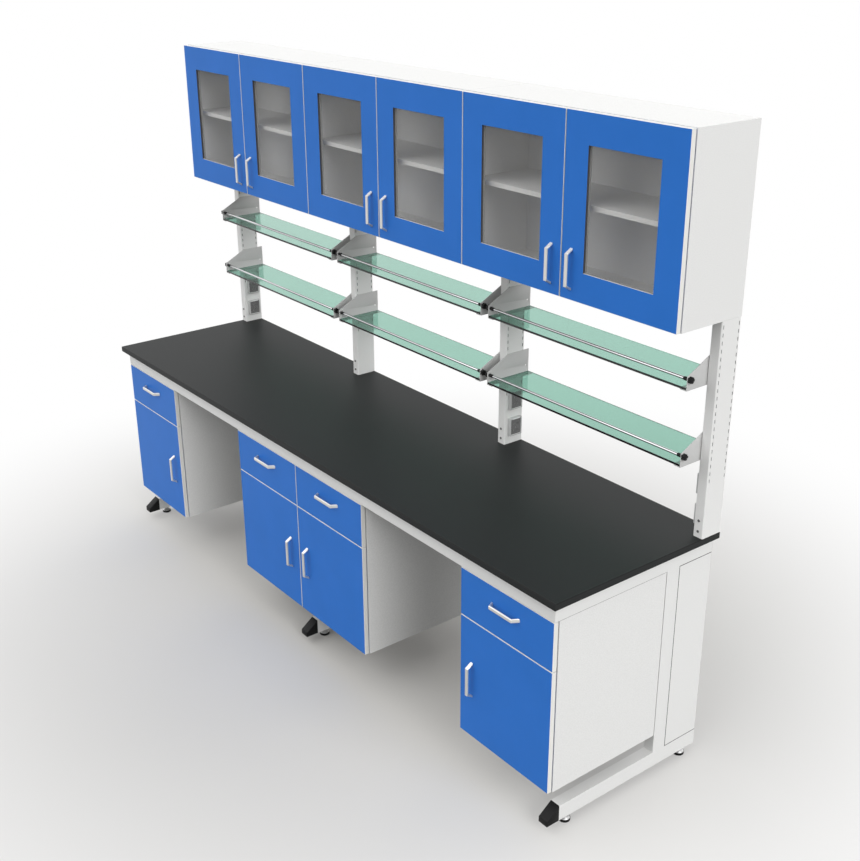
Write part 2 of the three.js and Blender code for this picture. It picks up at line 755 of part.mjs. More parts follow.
// Base cabinets from left to right; a door hinges on the cabinet's outer walls
const BASE_CABINETS = [
  { name: 'left', left: frameLeft, columns: 1, hinges: [1] },
  { name: 'middle', left: BENCH_LENGTH / 2 - COLUMN_WIDTH, columns: 2, hinges: [1, -1] },
  { name: 'right', left: frameRight - COLUMN_WIDTH, columns: 1, hinges: [-1] },
];

let column = 0;
for (const { name, left, columns, hinges } of BASE_CABINETS) {
  bench.add(node(`base_cabinet_${name}`, baseCabinet(left, columns, hinges), 'board_white'));
  const cells = drawerCells(left, columns);
  for (let i = 0; i < columns; i += 1) {
    column += 1;
    const width = [left + i * COLUMN_WIDTH, left + (i + 1) * COLUMN_WIDTH];
    const middle = (width[0] + width[1]) / 2;
    const handleHeight = drawerTop - DRAWER_HANDLE_DROP;
    bench.add(node(`drawer_${column}`, drawer(width, cells[i]), 'laminate_blue'));
    bench.add(node(
      `drawer_handle_${column}`,
      levelHandle(middle, frameFront, handleHeight),
      'handle',
    ));
    const board = [width[0] + FRONT_GAP / 2, width[1] - FRONT_GAP / 2];
    const freeEdge = hinges[i] > 0 ? board[1] : board[0];
    const handleX = freeEdge - hinges[i] * BASE_HANDLE_EDGE;
    bench.add(node(
      `base_door_${column}`,
      doorBoard(board, [doorFoot, doorTop], frameFront),
      'laminate_blue',
    ));
    bench.add(node(
      `base_door_handle_${column}`,
      uprightHandle(handleX, frameFront, (doorFoot + doorTop) / 2),
      'handle',
    ));
  }
}

for (let post = 0; post < POST_COUNT; post += 1) {
  bench.add(node(`shelf_post_${post + 1}`, shelfPost(post), 'steel_white'));
}

for (let bay = 0; bay < POST_COUNT - 1; bay += 1) {
  for (const [tier, slot] of Object.entries(tierSlots)) {
    const foot = slotHeight(slot) - HOOK_RISE;
    bench.add(node(`shelf_cradle_${bay + 1}_${tier}`, shelfCradle(bay, foot), 'steel_white'));
    bench.add(node(`glass_shelf_${bay + 1}_${tier}`, glassShelf(bay, foot), 'shelf_glass'));
  }
}

bench.add(node('wall_cabinet', wallCabinet(), 'board_white'));
const wallDoorHeight = [wallFoot + FRONT_GAP / 2, wallTop - FRONT_GAP / 2];
for (let door = 0; door < UNIT_COUNT * DOORS_PER_UNIT; door += 1) {
  const width = [door * wallDoorPitch + FRONT_GAP / 2, (door + 1) * wallDoorPitch - FRONT_GAP / 2];
  const hingedLeft = door % DOORS_PER_UNIT === 0;
  const handleX = hingedLeft ? width[1] - WALL_HANDLE_EDGE : width[0] + WALL_HANDLE_EDGE;
  const handleZ = wallDoorHeight[0] + WALL_HANDLE_RISE;
  bench.add(node(`wall_door_${door + 1}`, glazedDoor(width, wallDoorHeight), 'laminate_blue'));
  bench.add(node(`wall_door_glass_${door + 1}`, doorPane(width, wallDoorHeight), 'door_glass'));
  bench.add(node(
    `wall_door_handle_${door + 1}`,
    uprightHandle(handleX, wallDoorFront, handleZ),
    'handle',
  ));
}

// The origin: on the floor, in the middle of the footprint
const frontReach = Math.min(0, frameFront - SEAT - HANDLE_PROJECTION);
const backReach = Math.max(BENCH_DEPTH, shelfBack);
bench.position.set(-BENCH_LENGTH / 2, -(frontReach + backReach) / 2, 0);

export default bench;
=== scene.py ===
"""Looks of a laboratory bench with a reagent shelf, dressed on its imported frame.

Metres, +X to the user's right, +Y to the back, +Z up, origin on the floor in the middle.
"""

import math

import bmesh
import bpy
from mathutils import Matrix, Vector


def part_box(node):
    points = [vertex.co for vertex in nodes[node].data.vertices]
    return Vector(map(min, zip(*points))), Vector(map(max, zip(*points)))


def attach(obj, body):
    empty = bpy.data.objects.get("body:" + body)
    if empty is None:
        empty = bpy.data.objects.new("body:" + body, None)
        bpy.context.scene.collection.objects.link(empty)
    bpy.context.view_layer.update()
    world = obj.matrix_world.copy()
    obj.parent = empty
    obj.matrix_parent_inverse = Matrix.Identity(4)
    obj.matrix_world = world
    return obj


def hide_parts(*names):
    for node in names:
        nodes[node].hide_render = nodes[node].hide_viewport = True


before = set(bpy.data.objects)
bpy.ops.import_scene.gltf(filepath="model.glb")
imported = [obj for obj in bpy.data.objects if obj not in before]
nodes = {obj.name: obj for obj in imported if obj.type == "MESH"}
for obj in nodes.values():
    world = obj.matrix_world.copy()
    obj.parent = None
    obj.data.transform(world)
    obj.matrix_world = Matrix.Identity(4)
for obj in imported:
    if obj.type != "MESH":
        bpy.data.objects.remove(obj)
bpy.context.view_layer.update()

# Places and counts shared by several pieces
BAYS = (1, 2, 3)
TIERS = ("lower", "upper")
LEVELS = ("low", "high")
POSTS = 4
BASE_DOORS = 4
WALL_DOORS = 6
WALL_UNITS = 3
POST_PITCH = 2.96 / 3
POST_WIDTH = 0.04
FIRST_POST_X = -1.48
POST_FRONT_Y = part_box("shelf_post_2")[0].y
POST_DEPTH = 0.09
POST_MIDDLE_Y = POST_FRONT_Y + POST_DEPTH / 2
FRAME_XS = (-1.455, 0.0, 1.455)
TIER_STEP = 0.26
SEAT = 0.0003  # air between a post and the bracket hooked on it

# Shelf brackets, guard rods and knobs
BRACKET_FRONT_Y = POST_FRONT_Y - 0.093
BRACKET_BACK_Y = POST_FRONT_Y + 0.112
BRACKET_FOOT_Z = 1.172
BRACKET_HEIGHT = 0.1
BRACKET_NOSE = 0.048
BRACKET_SLOPE = 0.101
BRACKET_ROUND = 0.0005
SHEET = 0.0025
FLANGE = 0.025
HANGING_HOLE = (BRACKET_BACK_Y - 0.014, BRACKET_FOOT_Z + 0.036)
HANGING_HOLE_RADIUS = 0.003
HOLE_TOOL_REACH = 0.01
HOOK_YS = (POST_FRONT_Y + 0.008, POST_FRONT_Y + 0.082)
HOOK_ZS = (BRACKET_FOOT_Z + 0.0098, BRACKET_FOOT_Z + 0.0618)
HOOK_HALF_WIDTH = 0.001
HOOK_HEIGHT = 0.006
HOOK_ROOT = 0.0015
HOOK_NECK = 0.0023
HOOK_TIP = 0.0024
HOOK_DROP = 0.005
ROD_Y = BRACKET_FRONT_Y + 0.01
ROD_Z = BRACKET_FOOT_Z + 0.037
ROD_RADIUS = 0.005
ROD_ROUND = 0.0008
FERRULE_RADIUS = 0.0065
FERRULE_LENGTH = 0.018
FERRULE_STEP = 0.0008
FERRULE_NOSE = 0.002
FERRULE_ROUND = 0.0004
KNOB_RADIUS = 0.011
KNOB_LENGTH = 0.012
KNOB_LOBES = 5
KNOB_VALLEY = 0.74
VALLEY_COSINE = -0.5
KNOB_CROWN_INSET = 0.0035
KNOB_CROWN = 0.0008
KNOB_ROUND = 0.0012

# Feet
CAP_FRONT_Y = -0.35785
CAP_LENGTH = 0.054
CAP_OVER = 0.0006
FOOT_Z = (0.03, 0.09)
CAP_NOSE = 0.02
CAP_ROUND = 0.0016
PAD_YS = (-0.25885, 0.30815)
PAD_RADIUS = 0.0205
PAD_BOTTOM = 0.0002
PAD_TOP = 0.0106
PAD_ROUND = 0.0014
CUP_RADIUS = 0.0198
CUP_BOTTOM = PAD_TOP - 0.0004
CUP_TOP = 0.0188
CUP_TAPER = 0.44
CUP_ROUND = 0.0012
STEM_STEP = 0.0022
NUT_RADIUS = 0.0105
NUT_HEIGHT = 0.006
NUT_ROUND = 0.0008

# Service covers
SEAL_Y = (0.2028, 0.36195)
SEAL_Z = (0.0897, 0.815)
SEAL_WIDTH = 0.0026
SEAL_DEPTH = 0.0018
SEAL_OVER = 0.0002
SEAL_ROUND = 0.0003

# Power sockets
SOCKET_POSTS = ((0, 1), (2, 1), (3, -1))  # post, and whether on its right or its left
SOCKET_ZS = (0.972, 1.081)
SOCKET_OVER = 0.0004
SOCKET_HALF = (0.030, 0.036)
SOCKET_DEPTH = 0.015
SOCKET_SEAT = 0.0002
SOCKET_ROUND = 0.0018
SOCKET_RIM = 0.0036 + SOCKET_OVER
SOCKET_RECESS = 0.002
FACE_PLATE_GAP = 0.0018
FACE_PLATE = 0.001
PIN_PLACES = ((-0.009, 0.012), (0.009, 0.012), (-0.009, -0.015), (0.009, -0.015), (0.0, -0.004))
PIN_HALF = Vector((0.005, 0.0013, 0.0035))
TAB_XS = (-0.006, 0.0026)
TAB_HALF_WIDTH = 0.0176
TAB_ZS = (0.0314, 0.0352)
TAB_ROUND = 0.0008

# Post screws
SCREW_ZS = (0.923, 0.962)
SCREW_RADIUS = 0.0048
SCREW_HEIGHT = 0.003
SCREW_ROUND = 0.0014
SCREW_SOCKET_RADIUS = 0.0021
SCREW_SOCKET_YS = (POST_FRONT_Y - 0.001, POST_FRONT_Y - 0.01)

# Drawer runners
RUNNER_XS = (-1.4525, -1.0475, -0.4275, -0.0145, 0.0145, 0.4275, 1.0475, 1.4525)
RUNNER_Z = 0.6859
RUNNER_HALF = (0.0063, 0.0124)
RUNNER_BACK_Y = 0.0775

# Wall cabinet
UNITS_LEFT_X = -1.5
UNIT_SEAM_XS = (-0.5, 0.5)
UNIT_LENGTH = 1.0
WALL_DOOR_PITCH = UNIT_LENGTH / 2
UNIT_WALL = 0.016
PEG_YS = (0.16, 0.31)
PEG_Z = 1.9397
PEG_RADIUS = 0.0026
PEG_LENGTH = 0.009
PEG_ROUND = 0.0006

# Glazing strips
STRIP_WIDTH = 0.0075
STRIP_ROUND = 0.0006
STRIP_GAPS = (0.0001, 0.0002)  # to the pane and below the back of the door

# Hinges
HINGE_INSET = 0.09
DOOR_GAP = 0.0015
BASE_WALL = 0.016
HINGE_ARM = 0.0148
HINGE_ARM_HALF = 0.0098
HINGE_ARM_TIP = 0.0028
HINGE_ARM_ROUND = 0.0016
HINGE_GROOVE_INSET = 0.003
HINGE_GROOVE = 0.0004
HINGE_REACH = 0.0623
HINGE_PLATE = 0.0045
HINGE_PLATE_HALF = 0.0235
HINGE_PLATE_YS = (-0.0318, 0.0004)
HINGE_PLATE_ROUND = 0.0008
EAR_XS = (0.0155, 0.0295)
EAR_ZS = (0.0115, 0.026)
EAR_SHEET = 0.0012
EAR_ROUND = 0.0004
EAR_SCREW = (0.0225, 0.0195)
EAR_SCREW_YS = (0.001, 0.0021)
EAR_SCREW_RADIUS = 0.0034
EAR_SCREW_ROUND = 0.0003
BASE_WALL_FRONT_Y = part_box("base_cabinet_left")[0].y
WALL_UNIT_FRONT_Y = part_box("wall_cabinet")[0].y


# Modelling steps

WELD = 0.00001  # places closer than this count as one
SQUARE = 0.9  # least cosine between a face and the direction it counts as facing
SMOOTH = 35  # degrees between two faces that still look like one


def leave_edit():
    bpy.ops.object.mode_set(mode="OBJECT")


def deselect_all():
    if bpy.context.mode != "OBJECT":
        leave_edit()
    bpy.ops.object.select_all(action="DESELECT")


def select_only(piece):
    deselect_all()
    piece.select_set(True)
    bpy.context.view_layer.objects.active = piece


def settle(piece, name):
    """Name a new piece and put its place and size into its mesh."""
    piece.name = piece.data.name = name
    bpy.ops.object.transform_apply(location=True, rotation=True, scale=True)
    return piece


def start_block(name, low, high):
    deselect_all()
    low, high = Vector(low), Vector(high)
    bpy.ops.mesh.primitive_cube_add(size=1, location=(low + high) / 2, scale=high - low)
    return settle(bpy.context.object, name)


def start_round(name, start, end, radius, sides=32):
    deselect_all()
    start, end = Vector(start), Vector(end)
    turn = (end - start).to_track_quat("Z", "Y").to_euler()
    bpy.ops.mesh.primitive_cylinder_add(
        vertices=sides, radius=radius, depth=(end - start).length,
        location=(start + end) / 2, rotation=turn,
    )
    return settle(bpy.context.object, name)


def pick(piece, kind, test):
    """Edit a piece with only those faces or corners selected that pass a test."""
    bpy.context.view_layer.objects.active = piece
    bpy.ops.object.mode_set(mode="EDIT")
    bpy.ops.mesh.select_mode(type=kind)
    bpy.ops.mesh.select_all(action="DESELECT")
    mesh = bmesh.from_edit_mesh(piece.data)
    for part in {"FACE": mesh.faces, "VERT": mesh.verts}[kind]:
        if test(part):
            part.select_set(True)
    bmesh.update_edit_mesh(piece.data)


def pick_facing(piece, direction, test=lambda middle: True):
    direction = Vector(direction)
    pick(piece, "FACE", lambda face: face.normal.dot(direction) > SQUARE
         and test(face.calc_center_median()))


def push(move):
    """Extrude what is selected and go back to the whole piece."""
    bpy.ops.mesh.extrude_region_move(TRANSFORM_OT_translate={"value": move})
    leave_edit()


def slice_piece(piece, point, normal, keep_all=False):
    """Cut a piece along a plane; what lies past it is taken away unless all is kept."""
    pick(piece, "FACE", lambda face: True)
    bpy.ops.mesh.bisect(plane_co=point, plane_no=normal,
                        use_fill=not keep_all, clear_outer=not keep_all)
    leave_edit()


def round_edges(piece, width, segments=2, angle=30):
    modifier = piece.modifiers.new("rounding", "BEVEL")
    modifier.width = width
    modifier.segments = segments
    modifier.limit_method = "ANGLE"
    modifier.angle_limit = math.radians(angle)
    apply_modifier(piece, modifier)
    pick(piece, "VERT", lambda corner: True)
    bpy.ops.mesh.remove_doubles(threshold=WELD)
    leave_edit()


def apply_modifier(piece, modifier):
    select_only(piece)
    bpy.ops.object.modifier_apply(modifier=modifier.name)


def drill(piece, tool):
    modifier = piece.modifiers.new("hole", "BOOLEAN")
    modifier.operation = "DIFFERENCE"
    modifier.solver = "EXACT"
    modifier.material_mode = "TRANSFER"
    modifier.object = tool
    apply_modifier(piece, modifier)
    bpy.data.objects.remove(tool)


def join_pieces(piece, *others):
    select_only(piece)
    for other in others:
        other.select_set(True)
    bpy.ops.object.join()
    return piece


def paint(piece, finish):
    piece.data.materials.clear()
    piece.data.materials.append(finish)


def paint_faces(piece, finish, test):
    """Give the faces that pass a test a second finish."""
    piece.data.materials.append(finish)
    last = len(piece.data.materials) - 1
    for face in piece.data.polygons:
        if test(face):
            face.material_index = last


def hand_over(piece, body, smooth=SMOOTH):
    """Smooth a finished piece and hang it on the body that carries it."""
    select_only(piece)
    bpy.ops.object.shade_smooth_by_angle(angle=math.radians(smooth))
    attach(piece, body)
    return piece


def repeat(piece, name, place, body):
    """A copy with its own mesh, carried to its place by a matrix."""
    twin = piece.copy()
    twin.data = piece.data.copy()
    twin.name = twin.data.name = name
    bpy.context.collection.objects.link(twin)
    twin.data.transform(place)
    if place.determinant() < 0:
        twin.data.flip_normals()
    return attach(twin, body)


def mirror_x(middle):
    return Matrix.Translation((2 * middle, 0, 0)) @ Matrix.Scale(-1, 4, (1, 0, 0))


def half_turn(x, y):
    turn = Matrix.Rotation(math.pi, 4, "Z")
    return Matrix.Translation((x, y, 0)) @ turn @ Matrix.Translation((-x, -y, 0))


# Finishes

NOISE_DETAIL = 3.0
MOTTLE_SPAN = (0.3, 0.7)
GRAIN_STRENGTH = 0.4


class Finish:
    """A material with its principled shader and a short way to add and link nodes."""

    def __init__(self, name, colour, roughness, metallic=0.0, **sockets):
        self.material = bpy.data.materials.new(name)
        self.material.use_nodes = True
        self.tree = self.material.node_tree
        self.shader = self.tree.nodes["Principled BSDF"]
        values = {"Base Color": (*colour, 1), "Roughness": roughness, "Metallic": metallic}
        for socket, value in {**values, **sockets}.items():
            self.shader.inputs[socket].default_value = value

    def node(self, kind, **values):
        made = self.tree.nodes.new(kind)
        for name, value in values.items():
            setattr(made, name, value)
        return made

    def link(self, source, target):
        self.tree.links.new(source, target)

    def math(self, operation, first, second):
        made = self.node("ShaderNodeMath", operation=operation)
        for socket, value in zip(made.inputs, (first, second)):
            if isinstance(value, (int, float)):
                socket.default_value = value
            else:
                self.link(value, socket)
        return made.outputs[0]

    def coordinates(self, output):
        return self.node("ShaderNodeTexCoord").outputs[output]

    def axes(self, output):
        """The X, Y and Z of a place or a direction on the piece."""
        parts = self.node("ShaderNodeSeparateXYZ")
        self.link(self.coordinates(output), parts.inputs[0])
        return parts.outputs

    def noise(self, scale):
        made = self.node("ShaderNodeTexNoise")
        made.inputs["Scale"].default_value = scale
        made.inputs["Detail"].default_value = NOISE_DETAIL
        self.link(self.coordinates("Object"), made.inputs["Vector"])
        return made.outputs["Fac"]

    def mottle(self, scale, dark, light):
        """Colour that wanders between two shades."""
        ramp = self.node("ShaderNodeValToRGB")
        stops = zip(ramp.color_ramp.elements, MOTTLE_SPAN, (dark, light))
        for stop, position, shade in stops:
            stop.position = position
            stop.color = (*shade, 1)
        self.link(self.noise(scale), ramp.inputs["Fac"])
        return ramp.outputs["Color"]

    def grain(self, scale, height):
        """A fine unevenness of the surface."""
        bump = self.node("ShaderNodeBump")
        bump.inputs["Strength"].default_value = GRAIN_STRENGTH
        bump.inputs["Distance"].default_value = height
        self.link(self.noise(scale), bump.inputs["Height"])
        self.link(bump.outputs["Normal"], self.shader.inputs["Normal"])

    def mix(self, mask, where_zero, where_one):
        made = self.node("ShaderNodeMix", data_type="RGBA")
        self.link(mask, made.inputs["Factor"])
        for socket, value in (("A", where_zero), ("B", where_one)):
            target = next(i for i in made.inputs if i.name == socket and i.type == "RGBA")
            if isinstance(value, tuple):
                target.default_value = (*value, 1)
            else:
                self.link(value, target)
        return next(o for o in made.outputs if o.type == "RGBA")

    def near(self, value, places, reach):
        """1 where a value lies within reach of one of some places."""
        total = 0.0
        for place in places:
            close = self.node("ShaderNodeMath", operation="COMPARE")
            self.link(value, close.inputs[0])
            close.inputs[1].default_value = place
            close.inputs[2].default_value = reach
            total = self.math("MAXIMUM", total, close.outputs[0])
        return total

    def colour(self, output):
        self.link(output, self.shader.inputs["Base Color"])

    def facing(self, axis):
        """1 on faces square to an axis of the piece, 0 on those along it."""
        return self.math("ABSOLUTE", self.axes("Normal")[axis], 0.0)

    def broad_faces(self, axis):
        return self.math("GREATER_THAN", self.facing(axis), SQUARE)


# Shades, from dark to light where there are two, and how fine they wander
RESIN = ((0.004, 0.0054, 0.0054), (0.0085, 0.0098, 0.0098))
RESIN_MOTTLE = 420
# Painted shade: the worktop's chamfer is the same resin, drawn darker as a dark line along its
# edge
ARRIS_PAINTED_SHADE = (0.001, 0.001, 0.001)
BLUE = ((0.0205, 0.164, 0.59), (0.0235, 0.174, 0.625))
BLUE_MOTTLE = 6
CREAM = (0.80, 0.795, 0.765)
COAT = ((0.74, 0.74, 0.73), (0.80, 0.80, 0.79))
# Painted shade: a darker copy of the white powder coat for the white-coated shelf brackets
SHADED_BRACKET_COAT = ((0.47, 0.47, 0.465), (0.53, 0.53, 0.525))
COAT_MOTTLE = 900
WHITE_BOARD = ((0.72, 0.72, 0.71), (0.81, 0.81, 0.80))
BOARD_MOTTLE = 330
ZINC = (0.62, 0.62, 0.63)
# Painted shade: dark on the upright sides of the door windows, whose other edges stay cream
WINDOW_SIDE_SHADE = (0.07, 0.068, 0.065)
SEAM = (0.26, 0.26, 0.255)
# Painted shade: near black inside the post tubes, seen through the slots
TUBE_INSIDE_SHADE = (0.012, 0.012, 0.012)
GREEN_GLASS = (0.238, 0.515, 0.405)
GREEN_GLASS_EDGE = (0.02, 0.05, 0.04)

# Grain of the surfaces: how fine it is and how high it stands
RESIN_GRAIN = (900, 0.0002)
COAT_GRAIN = (1400, 0.00015)
BOARD_GRAIN = (700, 0.0002)
PLATED_GRAIN = (1800, 0.0001)
ROD_GRAIN = (2400, 0.00005)
PLASTIC_GRAIN = (1500, 0.0002)
SOCKET_GRAIN = (1600, 0.0001)

# Gloss
COAT_ROUGHNESS = 0.42
BOARD_ROUGHNESS = 0.5
LAMINATE_GLOSS = {"roughness": 0.46, "Specular IOR Level": 0.22}
RESIN_GLOSS = {"roughness": 0.5, "Specular IOR Level": 0.19}
PLASTIC_GLOSS = {"roughness": 0.46, "Specular IOR Level": 0.13}

# Where a finish changes on a piece
ARRIS_TILT, ARRIS_REACH = 0.7, 0.18
POST_SKIN = 0.0008
POST_CORNER = 0.005
UNIT_SEAM_HALF = 0.0005
ARM_SEAM_HALF = 0.0014
WINDOW_HALF_SHARES = (0.4, 0.42)
DRAWER_FRONT = 0.0178

GLASS_LIGHT_SHARE = 0.8  # of the light on a glass shelf that goes straight through


def worktop_resin():
    finish = Finish("worktop_resin", (0.011, 0.012, 0.012), **RESIN_GLOSS)
    resin = finish.mottle(RESIN_MOTTLE, *RESIN)
    # Painted shade on the chamfer faces, tilted between flat and upright
    shaded_arris = finish.near(finish.facing("Z"), (ARRIS_TILT,), ARRIS_REACH)
    finish.colour(finish.mix(shaded_arris, resin, ARRIS_PAINTED_SHADE))
    finish.grain(*RESIN_GRAIN)
    return finish.material


def powder_coat(name, dark, light):
    finish = Finish(name, light, COAT_ROUGHNESS)
    finish.colour(finish.mottle(COAT_MOTTLE, dark, light))
    finish.grain(*COAT_GRAIN)
    return finish.material


def post_coat():
    """Powder coat outside; the inside of the tube, seen through the slots, painted near black as
    shade.
    """
    finish = Finish("post_powder_coat", (0.78, 0.78, 0.77), COAT_ROUGHNESS)
    place = finish.axes("Object")
    along = finish.node("ShaderNodeMath", operation="WRAP")
    finish.link(place["X"], along.inputs[0])
    along.inputs[1].default_value = FIRST_POST_X + POST_PITCH / 2
    along.inputs[2].default_value = FIRST_POST_X - POST_PITCH / 2
    depths = []
    for value, middle, half in (
        (along.outputs[0], FIRST_POST_X, POST_WIDTH / 2),
        (place["Y"], POST_MIDDLE_Y, POST_DEPTH / 2),
    ):
        distance = finish.math("ABSOLUTE", finish.math("SUBTRACT", value, middle), 0.0)
        depths.append(finish.math("SUBTRACT", half, distance))
    below_faces = finish.math("GREATER_THAN", finish.math("MINIMUM", *depths), POST_SKIN)
    off_corners = finish.math("GREATER_THAN", finish.math("ADD", *depths), POST_CORNER)
    inside = finish.math("MULTIPLY", below_faces, off_corners)
    finish.colour(finish.mix(inside, finish.mottle(COAT_MOTTLE, *COAT), TUBE_INSIDE_SHADE))
    finish.grain(*COAT_GRAIN)
    return finish.material


def wall_unit_board():
    """White boards with a fine seam where two units of the wall cabinet meet."""
    finish = Finish("white_wall_unit_board", WHITE_BOARD[1], BOARD_ROUGHNESS)
    seam = finish.near(finish.axes("Object")["X"], UNIT_SEAM_XS, UNIT_SEAM_HALF)
    finish.colour(finish.mix(seam, finish.mottle(BOARD_MOTTLE, *WHITE_BOARD), SEAM))
    finish.grain(*BOARD_GRAIN)
    return finish.material


def base_cabinet_board():
    """White boards, a seam under the frame's arm, zinc runners inside the drawer openings."""
    finish = Finish("white_base_cabinet_board", WHITE_BOARD[1], BOARD_ROUGHNESS)
    place = finish.axes("Object")
    seam = finish.near(place["Z"], (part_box("base_cabinet_right")[1].z,), ARM_SEAM_HALF)
    seam = finish.math("MULTIPLY", seam, finish.broad_faces("X"))
    board = finish.mix(seam, finish.mottle(BOARD_MOTTLE, *WHITE_BOARD), SEAM)
    half_width, half_height = RUNNER_HALF
    runner = finish.math("MULTIPLY", finish.near(place["X"], RUNNER_XS, half_width),
                         finish.near(place["Z"], (RUNNER_Z,), half_height))
    in_front = finish.math("LESS_THAN", place["Y"], RUNNER_BACK_Y)
    runner = finish.math("MULTIPLY", runner, in_front)
    finish.colour(finish.mix(runner, board, ZINC))
    finish.link(runner, finish.shader.inputs["Metallic"])
    finish.grain(*BOARD_GRAIN)
    return finish.material


def blue_laminate():
    finish = Finish("blue_laminate", BLUE[1], **LAMINATE_GLOSS)
    blue = finish.mottle(BLUE_MOTTLE, *BLUE)
    finish.colour(finish.mix(finish.broad_faces("Y"), CREAM, blue))
    return finish.material


def glazed_laminate():
    """Blue board with pale edges, and painted shade on the upright sides of the window."""
    finish = Finish("glazed_door_laminate", BLUE[1], **LAMINATE_GLOSS)
    place = finish.axes("Object")
    low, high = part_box("wall_door_1")
    half_width, half_height = WINDOW_HALF_SHARES
    from_middle = finish.math("SUBTRACT", place["X"], (low.x + high.x) / 2)
    from_middle = finish.math("PINGPONG", from_middle, WALL_DOOR_PITCH / 2)
    window = finish.math("LESS_THAN", from_middle, WALL_DOOR_PITCH * half_width)
    inner = finish.near(place["Z"], ((low.z + high.z) / 2,), (high.z - low.z) * half_height)
    upright = finish.math("MULTIPLY", inner, finish.broad_faces("X"))
    # Painted shade on the window's upright sides; the outer edges and the window's top and
    # bottom stay cream
    edge = finish.mix(finish.math("MULTIPLY", window, upright), CREAM, WINDOW_SIDE_SHADE)
    blue = finish.mottle(BLUE_MOTTLE, *BLUE)
    finish.colour(finish.mix(finish.broad_faces("Y"), edge, blue))
    return finish.material


def drawer_boards():
    """Blue front with pale edging, white box behind it, zinc rails on its sides."""
    finish = Finish("drawer_boards", BLUE[1], **LAMINATE_GLOSS)
    front = finish.mix(finish.broad_faces("Y"), CREAM, finish.mottle(BLUE_MOTTLE, *BLUE))
    place = finish.axes("Object")
    front_back_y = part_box("drawer_1")[0].y + DRAWER_FRONT
    behind = finish.math("GREATER_THAN", place["Y"], front_back_y)
    beside = finish.near(place["X"], RUNNER_XS, RUNNER_HALF[0])
    rail = finish.math("MULTIPLY", behind, beside)
    box = finish.mix(rail, finish.mottle(BOARD_MOTTLE, *WHITE_BOARD), ZINC)
    finish.colour(finish.mix(behind, front, box))
    finish.link(rail, finish.shader.inputs["Metallic"])
    return finish.material


def satin_metal():
    finish = Finish("satin_handle", (0.68, 0.665, 0.63), roughness=0.34, metallic=0.6)
    finish.grain(*PLATED_GRAIN)
    return finish.material


def bright_steel():
    finish = Finish("bright_rod_steel", (0.42, 0.42, 0.43), roughness=0.12, metallic=1.0)
    finish.grain(*ROD_GRAIN)
    return finish.material


def zinc_plate(name, shade, roughness):
    finish = Finish(name, (shade, shade, shade), roughness, metallic=0.9)
    finish.grain(*PLATED_GRAIN)
    return finish.material


def black_plastic():
    finish = Finish("black_plastic", (0.006, 0.006, 0.0062), **PLASTIC_GLOSS)
    finish.grain(*PLASTIC_GRAIN)
    return finish.material


def socket_plastic(name, shade):
    finish = Finish(name, (shade, shade, shade), roughness=0.45)
    finish.grain(*SOCKET_GRAIN)
    return finish.material


def shelf_glass():
    """Green glass with dark edges that casts only a weak shadow."""
    finish = Finish("green_shelf_glass", GREEN_GLASS, roughness=0.02,
                    **{"Transmission Weight": 1.0, "IOR": 1.46})
    finish.colour(finish.mix(finish.broad_faces("Z"), GREEN_GLASS_EDGE, GREEN_GLASS))
    rays = finish.node("ShaderNodeLightPath").outputs
    unseen = finish.math("MAXIMUM", rays["Is Shadow Ray"], rays["Is Diffuse Ray"])
    clear = finish.math("MULTIPLY", unseen, GLASS_LIGHT_SHARE)
    finish.link(finish.math("SUBTRACT", 1.0, clear), finish.shader.inputs["Alpha"])
    return finish.material


def door_glass():
    return Finish("grey_door_glass", (0.5, 0.49, 0.47), roughness=0.05, Alpha=0.1).material


FINISHES = {
    "resin": worktop_resin(),
    "coat": powder_coat("white_powder_coat", *COAT),
    # The white brackets take a darker copy of the coat as painted shade
    "bracket": powder_coat("bracket_powder_coat", *SHADED_BRACKET_COAT),
    "post": post_coat(),
    "wall_board": wall_unit_board(),
    "base_board": base_cabinet_board(),
    "laminate": blue_laminate(),
    "glazed": glazed_laminate(),
    "drawer": drawer_boards(),
    "handle": satin_metal(),
    "rod": bright_steel(),
    "zinc": zinc_plate("zinc_fittings", shade=0.5, roughness=0.42),
    "screw": zinc_plate("dark_screw_steel", shade=0.16, roughness=0.3),
    "black": black_plastic(),
    "socket": socket_plastic("socket_housing", shade=0.5),
    "bead": socket_plastic("glazing_bead", shade=0.3),
    "socket_face": socket_plastic("socket_face", shade=0.12),
    # Painted shade: near black for the pin holes and the groove round the face plate
    "recess_shade": socket_plastic("socket_pin_hole", shade=0.008),
    "socket_tab": socket_plastic("socket_tab", shade=0.75),
    "shelf_glass": shelf_glass(),
    "door_glass": door_glass(),
}

NODE_FINISHES = (
    ("worktop", "resin"), ("front_rail", "coat"), ("rear_rail", "coat"), ("c_frame", "coat"),
    ("base_cabinet", "base_board"), ("drawer_handle", "handle"), ("drawer", "drawer"),
    ("base_door_handle", "handle"), ("base_door", "laminate"), ("shelf_post", "post"),
    ("shelf_cradle", "coat"), ("glass_shelf", "shelf_glass"), ("wall_cabinet", "wall_board"),
    ("wall_door_glass", "door_glass"), ("wall_door_handle", "handle"), ("wall_door", "glazed"),
)


def dress(piece, finish, body, smooth=SMOOTH):
    paint(piece, FINISHES[finish])
    return hand_over(piece, body, smooth)


def dress_nodes():
    for name, node in nodes.items():
        finish = next(value for start, value in NODE_FINISHES if name.startswith(start))
        paint(node, FINISHES[finish])


# Shelf brackets with their guard rods

def bracket_hook(face_x, y, z):
    """A hook that goes through a slot of the post and drops behind its wall."""
    behind = face_x - HOOK_NECK
    hook = start_block("hook", (behind, y - HOOK_HALF_WIDTH, z),
                       (face_x + HOOK_ROOT, y + HOOK_HALF_WIDTH, z + HOOK_HEIGHT))
    pick_facing(hook, (-1, 0, 0))
    push((-HOOK_TIP, 0, 0))
    pick_facing(hook, (0, 0, -1), lambda middle: middle.x < behind)
    push((0, 0, -HOOK_DROP))
    return hook


